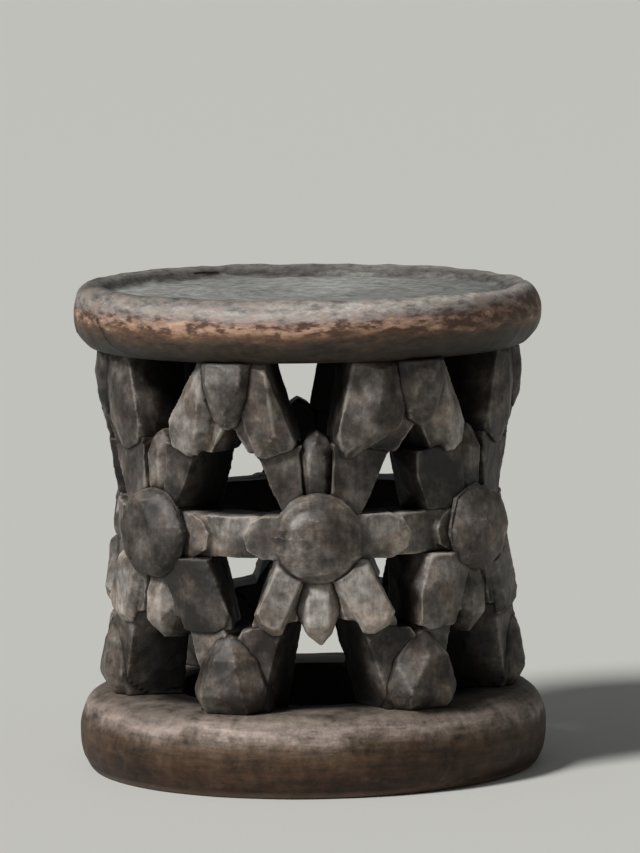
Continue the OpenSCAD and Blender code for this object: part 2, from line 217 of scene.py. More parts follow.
def sharpness(points, ends, out, rounds):
    """How far in mm each point stands out, along its normal, from the same surface relaxed: a round
    moves every point halfway to the mean of its neighbours. Above 0 on a ridge, below 0 in a groove."""
    soft = points
    count = np.bincount(ends.ravel(), minlength=len(points))[:, None]
    for _ in range(rounds):
        total = np.stack([
            np.bincount(ends[:, 0], soft[ends[:, 1], axis], len(points))
            + np.bincount(ends[:, 1], soft[ends[:, 0], axis], len(points))
            for axis in range(3)
        ], axis=1)
        soft = (soft + total / count) / 2
    return ((points - soft) * out).sum(axis=1)


def keep(mesh, name, values):
    """Stores one number for each vertex, for the material to read."""
    mesh.attributes.new(name, "FLOAT", "POINT").data.foreach_set("value", values.astype(np.float32))


# For the material: how sharp a ridge is, painted shade in the hollow, the angle round the edge as 0
# to 1, and painted shade that makes the wood darker to the right and, on the side alone, to the left
# of the front.
keep(mesh, "ridge", sharpness(points, ends_of(mesh), normals_of(mesh), 8))
# Painted shade: black in the hollow inside the ring.
inner_shade_from_r, inner_shade_full_r = 142, 120
keep(mesh, "soot", fade(reach, inner_shade_from_r, inner_shade_full_r))
keep(mesh, "roll", fade(roll + 0.4 * wander, -90, 135))
# Painted shade: darker to the right, and on the side to the left.
painted_shade_right, painted_shade_left = 0.34, 0.24
to_the_right = np.sin(np.radians(azimuth_of(points) + 10))
painted_shade = painted_shade_right * fade(to_the_right, 0, 1) + painted_shade_left * fade(to_the_right, 0, -0.625) * side
keep(mesh, "lightness", 1 - painted_shade)


def linear(hex_colour):
    """The linear colour of an sRGB hex value."""
    srgb = np.array([int(hex_colour[i:i + 2], 16) for i in (1, 3, 5)]) / 255
    level = np.where(srgb <= 0.04045, srgb / 12.92, ((srgb + 0.055) / 1.055) ** 2.4)
    return (*level.tolist(), 1.0)


def every(size):
    """The scale of a pattern whose marks lie about this many mm apart."""
    return 1000 / size


def add(tree, kind, inputs, result=0, **settings):
    """Adds one node and gives the output named by result. Settings are its properties, stops are a
    ramp's places and colours, and each input gets a plain value or another node's output. A Mix of
    colours has its factor at input 0, its colours at 6 and 7 and its result at output 2."""
    made = tree.nodes.new(kind)
    for number, (place, colour) in enumerate(settings.pop("stops", [])):
        ramp = made.color_ramp.elements
        stop = ramp[number] if number < 2 else ramp.new(place)
        stop.position, stop.color = place, linear(colour)
    for key, value in settings.items():
        setattr(made, key, value)
    for key, value in inputs.items():
        if isinstance(value, bpy.types.NodeSocket):
            tree.links.new(value, made.inputs[key])
        else:
            made.inputs[key].default_value = value
    return made.outputs[result] if made.outputs else None


def new_finish(name):
    """A material with nothing but its surface shader: the material, its nodes and the shader."""
    material = bpy.data.materials.new(name)
    material.use_nodes = True
    tree = material.node_tree
    return material, tree, tree.nodes["Principled BSDF"]


# Hardwood, adzed and then rubbed by floors and feet. The eye sees dull dark brown at the foot, partly
# painted shade, a pale dusty band along the shoulder, grey-brown on top, stains, and streaks along the
# adze's strokes. Painted shade darkens it to the right and to the left and turns the hollow black.
base_wood, tree, surface = new_finish("hardwood rubbed by floors")
place = add(tree, "ShaderNodeTexCoord", {}, "Object")
roll, soot, ridge, lightness = (add(tree, "ShaderNodeAttribute", {}, "Fac", attribute_name=name)
                          for name in ("roll", "soot", "ridge", "lightness"))
stains = add(tree, "ShaderNodeTexNoise",
             {"Vector": place, "Scale": every(38), "Detail": 6.0, "Roughness": 0.7})
fine = add(tree, "ShaderNodeTexNoise",
           {"Vector": place, "Scale": every(9), "Detail": 5.0, "Roughness": 0.75})
strokes = add(tree, "ShaderNodeMapping", {"Vector": place, "Scale": (every(40), every(40), every(5))})
streaks = add(tree, "ShaderNodeTexNoise",
              {"Vector": strokes, "Scale": 1.0, "Detail": 4.0, "Roughness": 0.65})
# The colour changes with the angle round the edge, and stains push its bands up and down.
shift = add(tree, "ShaderNodeMapRange",
            {"Value": stains, "From Min": 0.3, "From Max": 0.7, "To Min": -0.06, "To Max": 0.06})
ragged = add(tree, "ShaderNodeMath", {0: roll, 1: shift}, operation="ADD")
# The colours below the edge, up to 0.44, are darker than the wood alone, partly painted shade.
tone = add(tree, "ShaderNodeValToRGB", {"Fac": ragged}, stops=[
    (0, "#2c1c11"), (0.14, "#352316"), (0.3, "#3f2b1d"), (0.44, "#4c3928"), (0.52, "#5c4a3b"),
    (0.58, "#7d6d62"), (0.64, "#a3938a"), (0.7, "#85776d"), (0.76, "#71675d"), (1.0, "#6c6259")])
grain = add(tree, "ShaderNodeMath", {0: streaks, 1: fine}, operation="ADD")
blotched = add(tree, "ShaderNodeMath", {0: stains, 1: 0.9, 2: grain}, operation="MULTIPLY_ADD")
speck = add(tree, "ShaderNodeMapRange",
            {"Value": blotched, "From Min": 1.15, "From Max": 1.8, "To Min": 0.3, "To Max": 1.8})
# Painted shade, stored with the mesh, darkens the wood to the right and to the left.
level = add(tree, "ShaderNodeMath", {0: speck, 1: lightness}, operation="MULTIPLY")
mottled = add(tree, "ShaderNodeVectorMath", {0: tone, "Scale": level}, operation="SCALE")
rubbed = add(tree, "ShaderNodeMapRange",
             {"Value": ridge, "From Min": 0.12, "From Max": 0.5, "To Min": 0.0, "To Max": 0.35})
worn = add(tree, "ShaderNodeMix", {0: rubbed, 6: mottled, 7: linear("#8a7565")}, 2, data_type="RGBA")
# Painted shade turns the wood black in the hollow.
inner_shaded = add(tree, "ShaderNodeMix", {0: soot, 6: worn, 7: linear("#15110e")}, 2, data_type="RGBA")
dent = add(tree, "ShaderNodeBump", {"Height": grain, "Strength": 0.6, "Distance": 0.8 * mm})
tree.links.new(inner_shaded, surface.inputs["Base Color"])
tree.links.new(dent, surface.inputs["Normal"])
surface.inputs["Roughness"].default_value = 0.6
surface.inputs["Specular IOR Level"].default_value = 0.3


def put_in_scene(mesh, material, node):
    """Makes the piece, which rides on the one body and stands for the given CAD node."""
    piece = bpy.data.objects.new(mesh.name, mesh)
    bpy.context.scene.collection.objects.link(piece)
    mesh.materials.append(material)
    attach(piece, "root")
    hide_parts(node)


put_in_scene(mesh, base_wood, "base")

# Seat. The log's other end, a thick round of the same hardwood with a rolled rim and a shallow dish.
# It is shaped with the adze and polished grey by sitting; the rim's outer edge is rubbed through to
# brown wood, and its crest is highest at the back left.

seat_r = 180
seat_z = 322
seat_top = 374
seat_belly = 348
seat_flat_r = 159
crest_r = 166
dish_r = 152
dish_edge = 365
dish_floor = 360
seat_row = 2.4
crest_drop = 5
crest_high_az = -135
pith = (14, 22)
ring_width = 5

inwards = np.linspace(0.98, 0, 30)
profile = curve_through([
    [(0, seat_z)],
    arc((seat_flat_r, seat_belly), (seat_r - seat_flat_r, seat_belly - seat_z), -90, 0),
    arc((crest_r, seat_belly), (seat_r - crest_r, seat_top - seat_belly), 0, 90),
    arc((crest_r, dish_edge), (dish_r - crest_r, seat_top - dish_edge), 90, 10),
    np.stack([dish_r * inwards, dish_edge - (dish_edge - dish_floor) * (1 - inwards ** 2)], axis=1),
], seat_row)
points, faces = turned(profile, closed=False)
mesh = mesh_of("seat_round", points, faces)
out = normals_of(mesh)

# roll is the angle round the rim, from -90 at the underside over 0 at the outer edge to nearly 180 in
# the dish. The flat underside isn't cut, because the ring below joins it.
rim_adze_size = 24
rim_adze_squash = (1, 1, 1.3)
seat_cut = 1.2
reach = np.hypot(points[:, 0], points[:, 1])
roll = np.degrees(np.arctan2(points[:, 2] - seat_belly, reach - crest_r))
roll = np.where(points[:, 2] < seat_z + 0.01, -90, roll)
rim = fade(reach, 132, 156)
rough = waves(points, [(0.8, 80, 5), (0.6, 25, 6), (0.3, 9, 7)]) - seat_cut
rough += rim * tool_marks(points * rim_adze_squash, rim_adze_size, 31, bowl=1.5, lean=0.4, sunk=0.6)
rough = np.minimum(rough, -least_cut) * fade(points[:, 2], seat_z, seat_z + 4)
lean = crest_drop / 2 * (1 - np.cos(np.radians(azimuth_of(points) - crest_high_az)))
lifted = fade(points[:, 2], seat_belly - 10, seat_belly + 20)
plain = points
points = points + out * rough[:, None]
points[:, 2] -= lean * lifted * rim
move(mesh, points)

# For the material: the angle round the rim, from 0 at the underside to 1 in the dish. The brown edge
# reaches brown_climb degrees higher on the right.
brown_climb = 26
azimuth = azimuth_of(points)
right_side = fade(azimuth, 8, 58) * fade(azimuth, 160, 110)
shifted = roll - brown_climb * right_side * fade(roll, -10, 20) * fade(roll, 110, 70)
keep(mesh, "roll", (shifted + 90) / 270)

# How much darker or paler than its plain colour the wood is at each place, as painted light and
# shade: rows of an amount and the part of the seat that has it, added to 1.
left_side = fade(azimuth, -15, -45) * fade(azimuth, -150, -110)
outer_rim = fade(shifted, 110, 95)
in_dish = fade(reach, 150, 138)
front_left = fade(azimuth, -15, -45) * fade(azimuth, -125, -95)
painted_light_and_shade_rows = [
    # Darker on the right below the crest: a darker brown edge, partly, and painted shade.
    (-0.5, right_side * fade(shifted, 66, 41)),
    # Painted shade on the rim at the left, and more at its far left end.
    (-0.2, left_side * outer_rim),
    (-0.2, outer_rim * fade(np.abs(azimuth + 95), 35, 0)),
    # A painted highlight along the crest at the front.
    (0.46, bell(shifted, 80, 28) * fade(azimuth, -22, 8) * fade(azimuth, 110, 70)),
    # Painted light in the dish, and across it painted light to the left and painted shade to the right.
    (0.26, in_dish),
    (-0.3, in_dish * points[:, 0] / 130),
    # Painted light on the rim's inner wall at the back, at the back left and at the front left.
    (0.5, (shifted > 75) * fade(np.abs((azimuth + 15) % 360 - 180), 40, 0)),
    (0.45, (shifted > 95) * fade(np.abs(azimuth + 125), 45, 0) * fade(reach, 138, 146)),
    (0.5, (shifted > 100) * front_left * bell(reach, 145, 10)),
]
keep(mesh, "lightness", 1 + sum(amount * part for amount, part in painted_light_and_shade_rows))

# The growth rings of the end grain: how many ring widths a point lies from the pith.
from_pith = np.hypot(points[:, 0] - pith[0], points[:, 1] - pith[1]) + 5 * swell(points, 70, 8)
keep(mesh, "growth", from_pith / ring_width)


def on_the_edge(azimuth, height):
    """The place on the seat's outer edge at an azimuth in degrees and a height in mm, on whichever of
    the profile's two elliptical arcs reaches that height."""
    middle, half_height = crest_r, seat_top - seat_belly
    if height <= seat_belly:
        middle, half_height = seat_flat_r, seat_belly - seat_z
    reach = middle + (seat_r - middle) * math.sqrt(1 - ((height - seat_belly) / half_height) ** 2)
    return [reach * math.sin(math.radians(azimuth)), -reach * math.cos(math.radians(azimuth)), height]


def apart(points, path):
    """The distance in mm from each point to a crack, which is a chain of straight stretches."""
    nearest = np.full(len(points), 1e3)
    for start, end in zip(np.array(path[:-1]), np.array(path[1:])):
        along = end - start
        share = np.clip((points - start) @ along / (along @ along), 0, 1)
        nearest = np.minimum(nearest, np.linalg.norm(points - start - share[:, None] * along, axis=1))
    return nearest


left_crack = [(-62, 351), (-59.6, 343), (-58.4, 336), (-57, 330), (-54, 327), (-47, 324)]
front_flake = [(-6, 372), (-2, 371.4), (1.5, 371.7)]
back_crack = [(140, 350), (139, 341), (141, 333)]
inner_crack = [(-87.3, 126.4, 369.3), (-78, 132, 368.8), (-69, 136.7, 368.3)]
cracks = [
    (1.6, [on_the_edge(*spot) for spot in left_crack]),
    (1.2, inner_crack),
    (0.7, [on_the_edge(*spot) for spot in front_flake]),
    (1.0, [on_the_edge(*spot) for spot in back_crack]),
]
keep(mesh, "crack", np.min([apart(plain, path) / width for width, path in cracks], axis=0))

# Hardwood polished by sitting. The eye sees a grey dusty dish with the growth rings of the end grain,
# a pale crest with brown spots, a rusty edge rubbed through in ragged patches, and a dull underside,
# there partly painted shade. Painted light and shade lie over it all, stored with the mesh.
seat_wood, tree, surface = new_finish("hardwood polished by sitting")
place = add(tree, "ShaderNodeTexCoord", {}, "Object")
roll, crack, lightness, growth = (add(tree, "ShaderNodeAttribute", {}, "Fac", attribute_name=name)
                            for name in ("roll", "crack", "lightness", "growth"))
strokes = add(tree, "ShaderNodeMapping", {"Vector": place, "Scale": (1.0, 1.0, 2.8)})
stains = add(tree, "ShaderNodeTexNoise",
             {"Vector": strokes, "Scale": every(45), "Detail": 7.0, "Roughness": 0.72})
fine = add(tree, "ShaderNodeTexNoise",
           {"Vector": strokes, "Scale": every(9), "Detail": 4.0, "Roughness": 0.7})
patches = add(tree, "ShaderNodeTexNoise",
              {"Vector": strokes, "Scale": every(16), "Detail": 4.0, "Roughness": 0.65})
# Growth rings: a noise that changes fast with the distance from the pith and slowly along a ring.
slow = add(tree, "ShaderNodeVectorMath", {0: place, "Scale": every(60)}, operation="SCALE")
rings = add(tree, "ShaderNodeTexNoise",
            {"Vector": slow, "W": growth, "Scale": 1.0, "Detail": 4.0, "Roughness": 0.62},
            noise_dimensions="4D")
calm = add(tree, "ShaderNodeMath", {0: rings, 1: 0.45, 2: 0.275}, operation="MULTIPLY_ADD")
# The colour changes with the angle round the edge, and stains push its bands up and down.
shift = add(tree, "ShaderNodeMapRange",
            {"Value": stains, "From Min": 0.3, "From Max": 0.7, "To Min": -0.06, "To Max": 0.06})
ragged = add(tree, "ShaderNodeMath", {0: roll, 1: shift}, operation="ADD")
# The underside's colours, below 0.25, are darker than the wood alone, partly painted shade, and the dark
# band from 0.76 to 0.8 at the foot of the rim's inner wall is painted shade.
tone = add(tree, "ShaderNodeValToRGB", {"Fac": ragged}, stops=[
    (0, "#2d251e"), (0.1, "#3a3027"), (0.18, "#493a2e"), (0.25, "#694f3c"), (0.31, "#977660"),
    (0.37, "#ae8b79"), (0.42, "#9f8171"), (0.46, "#978580"), (0.5, "#a1968f"), (0.56, "#a69f99"),
    (0.61, "#8c857f"), (0.69, "#75716c"), (0.76, "#605d59"), (0.8, "#4a4743"), (0.84, "#6c6b67"),
    (0.9, "#7d7d79"), (1.0, "#83837f")])
outer = add(tree, "ShaderNodeMapRange",
            {"Value": roll, "From Min": 0.74, "From Max": 0.66, "To Min": 0.0, "To Max": 1.0})
pattern = add(tree, "ShaderNodeMix", {0: outer, 2: calm, 3: patches})
grain = add(tree, "ShaderNodeMath", {0: pattern, 1: fine}, operation="ADD")
speck = add(tree, "ShaderNodeMapRange",
            {"Value": grain, "From Min": 0.75, "From Max": 1.3, "To Min": 0.42, "To Max": 1.58})
# Painted light and shade, stored with the mesh, make the wood paler or darker by place.
level = add(tree, "ShaderNodeMath", {0: speck, 1: lightness}, operation="MULTIPLY")
mottled = add(tree, "ShaderNodeVectorMath", {0: tone, "Scale": level}, operation="SCALE")

# Brown spots on the crest, where the grey dust is rubbed off.
crest_start = add(tree, "ShaderNodeMapRange",
                  {"Value": ragged, "From Min": 0.42, "From Max": 0.48, "To Min": 0.0, "To Max": 1.0})
crest_end = add(tree, "ShaderNodeMapRange",
                {"Value": ragged, "From Min": 0.64, "From Max": 0.72, "To Min": 1.0, "To Max": 0.0})
on_crest = add(tree, "ShaderNodeMath", {0: crest_start, 1: crest_end}, operation="MULTIPLY")
spots = add(tree, "ShaderNodeMapRange",
            {"Value": patches, "From Min": 0.5, "From Max": 0.62, "To Min": 0.0, "To Max": 0.6})
spot = add(tree, "ShaderNodeMath", {0: spots, 1: on_crest}, operation="MULTIPLY")
brown = add(tree, "ShaderNodeMix", {0: spot, 6: mottled, 7: linear("#8c7869")}, 2, data_type="RGBA")

# The band along the outer edge: pale chips, and dark patches where the old skin is left.
band_start = add(tree, "ShaderNodeMapRange",
                 {"Value": ragged, "From Min": 0.23, "From Max": 0.3, "To Min": 0.0, "To Max": 1.0})
band_end = add(tree, "ShaderNodeMapRange",
               {"Value": ragged, "From Min": 0.43, "From Max": 0.5, "To Min": 1.0, "To Max": 0.0})
in_band = add(tree, "ShaderNodeMath", {0: band_start, 1: band_end}, operation="MULTIPLY")
chipped = add(tree, "ShaderNodeMapRange",
              {"Value": patches, "From Min": 0.62, "From Max": 0.7, "To Min": 0.0, "To Max": 0.8})
chip = add(tree, "ShaderNodeMath", {0: chipped, 1: in_band}, operation="MULTIPLY")
chips = add(tree, "ShaderNodeMix", {0: chip, 6: brown, 7: linear("#c7a67f")}, 2, data_type="RGBA")
unrubbed = add(tree, "ShaderNodeMapRange",
               {"Value": patches, "From Min": 0.52, "From Max": 0.44, "To Min": 0.0, "To Max": 0.9})
dark = add(tree, "ShaderNodeMath", {0: unrubbed, 1: in_band}, operation="MULTIPLY")
darker = add(tree, "ShaderNodeMix", {0: dark, 6: chips, 7: linear("#51392b")}, 2, data_type="RGBA")

# Cracks, black inside, with ragged lips.
wander = add(tree, "ShaderNodeMapRange",
             {"Value": fine, "From Min": 0.3, "From Max": 0.7, "To Min": -0.5, "To Max": 0.5})
split = add(tree, "ShaderNodeMath", {0: crack, 1: wander}, operation="ADD")
gape = add(tree, "ShaderNodeMapRange",
           {"Value": split, "From Min": 0.5, "From Max": 1.6, "To Min": 1.0, "To Max": 0.0})
cracked = add(tree, "ShaderNodeMix", {0: gape, 6: darker, 7: linear("#0f0c0a")}, 2, data_type="RGBA")
height = add(tree, "ShaderNodeMath", {0: gape, 1: -1.5, 2: fine}, operation="MULTIPLY_ADD")
dent = add(tree, "ShaderNodeBump", {"Height": height, "Strength": 0.35, "Distance": 0.7 * mm})
tree.links.new(cracked, surface.inputs["Base Color"])
tree.links.new(dent, surface.inputs["Normal"])
surface.inputs["Roughness"].default_value = 0.55
surface.inputs["Specular IOR Level"].default_value = 0.35

put_in_scene(mesh, seat_wood, "seat")

# Ring bars. Six short arcs of the log's wall, the same hardwood, left standing between the spiders
# with their side arms: adze cuts that meet in ridges, painted black inside as shade, rubbed pale on top.

strut_r = 150
voxel = 1.3
grown = 0.15
press = 0.4
stroke_size = 15
long_strokes = (1.6, 1.6, 1)
bar_deep = 1.7
knife_count = 14
knife_depth = (0.5, 2.2)
touching, clear = 0.6, 2.6
inner_shade_deep = 26
bar_pale = [0.5, 0.3, 0.35, 0.3, 0.35, 0.55]


def solids_of(node):
    """The closed solids of a CAD node as corners in mm and triangles. Corners at one place are made
    one, and those that hang together share the lowest number that their triangles pass on."""
    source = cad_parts[node].data
    corners = np.empty(len(source.vertices) * 3, np.float32)
    source.vertices.foreach_get("co", corners)
    triangles = np.empty(len(source.loops), np.int32)
    source.loops.foreach_get("vertex_index", triangles)
    corners, same = np.unique(np.round(corners.reshape(-1, 3) * 1e6), axis=0, return_inverse=True)
    triangles = same.ravel()[triangles].reshape(-1, 3)
    label = np.arange(len(corners))
    while True:
        lowest = label.copy()
        np.minimum.at(lowest, triangles, label[triangles].min(axis=1)[:, None])
        if (lowest == label).all():
            break
        label = lowest
    for number in np.unique(label):
        mine = triangles[label[triangles[:, 0]] == number]
        used, local = np.unique(mine, return_inverse=True)
        yield corners[used] * 1e-3, local.reshape(-1, 3)


lattice_nodes = [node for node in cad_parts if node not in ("base", "seat")]
blocks = [(node, *block) for node in ["base", "seat", *lattice_nodes] for block in solids_of(node)]

# A modifier that stores the gap from every point of a block to the solids around it. They are put
# into the object called neighbours, anew for each block.
neighbours = bpy.data.objects.new("neighbours", bpy.data.meshes.new("neighbours"))
bpy.context.scene.collection.objects.link(neighbours)
group = bpy.data.node_groups.new("gap to the neighbours", "GeometryNodeTree")
group.interface.new_socket("Block", in_out="INPUT", socket_type="NodeSocketGeometry")
group.interface.new_socket("Block", in_out="OUTPUT", socket_type="NodeSocketGeometry")
start = add(group, "NodeGroupInput", {})
near = add(group, "GeometryNodeObjectInfo", {"Object": neighbours}, "Geometry")
gap = add(group, "GeometryNodeProximity", {0: near}, "Distance", target_element="FACES")
stored = add(group, "GeometryNodeStoreNamedAttribute", {"Geometry": start, "Name": "gap", "Value": gap},
             data_type="FLOAT", domain="POINT")
add(group, "NodeGroupOutput", {0: stored})


def rounded(number):
    """A block of the ring as a fine even mesh with softened edges: points, faces, edge ends, unit
    normals and each point's gap in mm to the nearest other block."""
    node, corners, triangles = blocks[number]
    low, high = corners.min(axis=0) - 8, corners.max(axis=0) + 8
    others = [b for i, b in enumerate(blocks) if i != number
              and (b[1].max(axis=0) > low).all() and (b[1].min(axis=0) < high).all()]
    firsts = np.cumsum([0] + [len(b[1]) for b in others])
    neighbours.data.clear_geometry()
    neighbours.data.from_pydata(np.vstack([b[1] for b in others]) * mm, [],
                                np.vstack([b[2] + first for b, first in zip(others, firsts)]).tolist())
    block = bpy.data.objects.new("block", mesh_of("block", corners, triangles.tolist()))
    bpy.context.scene.collection.objects.link(block)
    swollen = block.modifiers.new("grow over the seams", "DISPLACE")
    swollen.strength, swollen.mid_level = grown * mm, 0
    even = block.modifiers.new("even mesh", "REMESH")
    even.mode, even.voxel_size = "VOXEL", voxel * mm
    soft = block.modifiers.new("soft edges", "SMOOTH")
    soft.factor, soft.iterations = 0.5, 1
    block.modifiers.new("gap", "NODES").node_group = group
    depsgraph = bpy.context.evaluated_depsgraph_get()
    fine = bpy.data.meshes.new_from_object(
        block.evaluated_get(depsgraph), preserve_all_data_layers=True, depsgraph=depsgraph)
    points = np.empty(len(fine.vertices) * 3, np.float32)
    fine.vertices.foreach_get("co", points)
    faces = np.empty(len(fine.loops), np.int32)
    fine.loops.foreach_get("vertex_index", faces)
    gaps = np.empty(len(fine.vertices), np.float32)
    fine.attributes["gap"].data.foreach_get("value", gaps)
    points, faces = points.reshape(-1, 3) * 1000.0, faces.reshape(-1, 4)
    result = points, faces, ends_of(fine), normals_of(fine), gaps * 1000.0
    bpy.data.objects.remove(block)
    bpy.data.meshes.remove(fine)
    return result


def knife_cuts(points, free, seed):
    """Flat cuts across the corners: for each of some directions, what stands past a plane a little
    inside the outermost point is pressed back onto it, least where the block faces out."""
    draw = np.random.default_rng(seed)
    facing = draw.normal(size=(knife_count, 3))
    facing /= np.linalg.norm(facing, axis=1)[:, None]
    outward = points.mean(axis=0) * (1, 1, 0)
    outward /= np.linalg.norm(outward)
    depth = draw.uniform(*knife_depth, len(facing)) * (1 - np.abs(facing @ outward)) ** 1.5
    for towards, deep in zip(facing, depth):
        along = points @ towards
        past = np.maximum(0, along - (along.max() - deep)) * free
        points = points - past[:, None] * towards
    return points


def carve(node, rubbed, recess_shade=0.0, raised=1.0, stroke=(1, 1, 1), deep=1.0, shape=None):
    """The mesh of one lattice node: its blocks rounded, cut and pressed a little into their neighbours.
    rubbed is how pale each block is, from left to right, mostly as hands left it and in places set
    darker as painted shade, hidden how much darker painted shade makes it where it lies back, raised
    how many times as far it stands out past the struts, stroke the length of the tool's strokes, deep
    how deep they are and shape a last change of the points."""
    mine = [number for number, block in enumerate(blocks) if block[0] == node]
    turn = {number: azimuth_of(blocks[number][1].mean(axis=0)[None])[0] for number in mine}
    mine = sorted(mine, key=lambda number: (turn[number] - turn[mine[0]] + 180) % 360)
    parts = []
    first = 0
    for number, pale in zip(mine, rubbed):
        points, faces, ends, out, gaps = rounded(number)
        free = fade(gaps, touching, clear)
        reach = np.hypot(points[:, 0], points[:, 1])
        past_struts = np.maximum(reach - strut_r, 0) / reach
        points = points * (1 + np.outer((raised - 1) * past_struts, (1, 1, 0)))
        points = knife_cuts(points, free, seed=number)
        edge = sharpness(points, ends, out, 12)
        rough = deep * tool_marks(points / stroke, stroke_size, 51, bowl=0.9, lean=0.7, sunk=0.4)
        rough += waves(points, [(0.5, 30, 52), (0.15, 6, 53)])
        points = points + out * (rough * free + press * (1 - free))[:, None]
        if shape:
            points = shape(points, out, free)
        worn = sharpness(points, ends, out, 3)
        proud = fade(np.hypot(points[:, 0], points[:, 1]), strut_r - 1, strut_r + 4)
        # Parts that lie back, behind the line of the struts, are painted darker as shade.
        tone = pale * (1 - recess_shade * (1 - proud)) + 0.22 * np.clip(out[:, 2], 0, 1)
        tone += 0.4 * np.maximum(swell(points, 13, 54) - 0.4, 0)
        tone -= 0.4 * np.maximum(swell(points, 17, 55) - 0.35, 0)
        # The fourth row is painted shade in the creases, darkest where a block meets its neighbours.
        parts.append((points, faces + first, (0.6 * edge + 2 * worn) * free, fade(gaps, 4, 0) ** 1.5, tone))
        first += len(points)
    points, faces, ridge, crevice, tone = (np.concatenate(rows) for rows in zip(*parts))
    mesh = mesh_of("carved_" + node, points, faces.tolist())
    keep(mesh, "ridge", ridge)
    keep(mesh, "crevice", crevice)
    keep(mesh, "tone", tone)
    depth = np.hypot(points[:, 0], points[:, 1])
    inward = -(normals_of(mesh) * points / depth[:, None])[:, :2].sum(axis=1)
    # Painted shade: black deep inside the wall and on faces turned inwards.
    soot = fade(depth, strut_r, strut_r - inner_shade_deep)
    keep(mesh, "soot", np.clip(np.maximum(soot * soot * (3 - 2 * soot), (inward - 0.1) * 2), 0, 1))
    return mesh


# Hardwood cut with adze and knife, dark with years of smoke. The eye sees matt grey-brown to black
# wood with cloudy stains, pale rubbed ridges, creases painted black as shade where blocks meet, and an
# inside painted black as shade. The real fibres are a few tenths of a millimetre wide, too fine to
# show, so the grain is drawn 2.5 mm wide.
lattice_wood, tree, surface = new_finish("hardwood dark with smoke")
place = add(tree, "ShaderNodeTexCoord", {}, "Object")
soot, ridge, crevice, paler = (add(tree, "ShaderNodeAttribute", {}, "Fac", attribute_name=name)
                               for name in ("soot", "ridge", "crevice", "tone"))
stains = add(tree, "ShaderNodeTexNoise",
             {"Vector": place, "Scale": every(26), "Detail": 6.0, "Roughness": 0.66})
fine = add(tree, "ShaderNodeTexNoise",
           {"Vector": place, "Scale": every(7), "Detail": 5.0, "Roughness": 0.72})
patches = add(tree, "ShaderNodeTexNoise",
              {"Vector": place, "Scale": every(34), "Detail": 4.0, "Roughness": 0.6, "Distortion": 0.6})
fibres = add(tree, "ShaderNodeMapping", {"Vector": place, "Scale": (every(2.5), every(2.5), every(24))})
lines = add(tree, "ShaderNodeTexNoise",
            {"Vector": fibres, "Scale": 1.0, "Detail": 3.0, "Roughness": 0.6})
cloudy = add(tree, "ShaderNodeMapRange",
             {"Value": stains, "From Min": 0.3, "From Max": 0.7, "To Min": -0.38, "To Max": 0.38})
level = add(tree, "ShaderNodeMath", {0: paler, 1: cloudy}, operation="ADD")
tone = add(tree, "ShaderNodeValToRGB", {"Fac": level}, stops=[
    (0, "#231f1b"), (0.25, "#443e39"), (0.5, "#635d57"), (0.75, "#88827c"), (1.0, "#a8a29b")])
brown = add(tree, "ShaderNodeMapRange",
            {"Value": patches, "From Min": 0.48, "From Max": 0.62, "To Min": 0.0, "To Max": 0.5})
warm = add(tree, "ShaderNodeVectorMath", {0: tone, 1: (1.12, 0.86, 0.68)}, operation="MULTIPLY")
handled = add(tree, "ShaderNodeMix", {0: brown, 6: tone, 7: warm}, 2, data_type="RGBA")
grain = add(tree, "ShaderNodeMath", {0: lines, 1: 0.4, 2: fine}, operation="MULTIPLY_ADD")
speck = add(tree, "ShaderNodeMapRange",
            {"Value": grain, "From Min": 0.45, "From Max": 0.95, "To Min": 0.48, "To Max": 1.52})
mottled = add(tree, "ShaderNodeVectorMath", {0: handled, "Scale": speck}, operation="SCALE")
uneven = add(tree, "ShaderNodeMapRange",
             {"Value": stains, "From Min": 0.35, "From Max": 0.65, "To Min": -0.45, "To Max": 0.15})
edge = add(tree, "ShaderNodeMath", {0: ridge, 1: uneven}, operation="ADD")
rubbed = add(tree, "ShaderNodeMapRange",
             {"Value": edge, "From Min": 0.2, "From Max": 0.9, "To Min": 0.0, "To Max": 1.0})
often = add(tree, "ShaderNodeMapRange",
            {"Value": paler, "From Min": 0.05, "From Max": 0.6, "To Min": 0.12, "To Max": 0.85})
pale_edge = add(tree, "ShaderNodeMath", {0: rubbed, 1: often}, operation="MULTIPLY")
worn = add(tree, "ShaderNodeMix", {0: pale_edge, 6: mottled, 7: linear("#a79d93")}, 2, data_type="RGBA")
# Painted shade in the creases where blocks meet.
crease_shade_share = add(tree, "ShaderNodeMath", {0: crevice, 1: 0.75}, operation="MULTIPLY")
crease_shaded = add(tree, "ShaderNodeMix", {0: crease_shade_share, 6: worn, 7: linear("#15110f")}, 2, data_type="RGBA")
# Painted shade: black inside the ring.
inner_shaded = add(tree, "ShaderNodeMix", {0: soot, 6: crease_shaded, 7: linear("#0c0a09")}, 2, data_type="RGBA")
dent = add(tree, "ShaderNodeBump", {"Height": grain, "Strength": 0.4, "Distance": 0.5 * mm})
tree.links.new(inner_shaded, surface.inputs["Base Color"])
tree.links.new(dent, surface.inputs["Normal"])
surface.inputs["Roughness"].default_value = 0.55
surface.inputs["Specular IOR Level"].default_value = 0.4

for k, pale in enumerate(bar_pale, 1):
    node = f"ring_bar_{k}"
    mesh = carve(node, [pale], stroke=long_strokes, deep=bar_deep)
    put_in_scene(mesh, lattice_wood, node)

# Spider bodies. Six round bosses of the same wood, carved in one with it, that stand out between the
# limbs. The front one has a raised lip round its upper left and shows the knife's level strokes.

spider_z = 191.5
body_r = 33.5
body_dome = 2.0
front_dome = 4.5
lip_r = 24
groove = 2.4
slant_up, slant_across, slant_start = 0.2, 0.34, 4
level_strokes = (2.6, 2.6, 0.5)
round_strokes = (1.3, 1.3, 1.3)
body_deep = 2.0
body_pale = [0.4, 0.33, 0.35, 0.35, 0.3, 0.2]


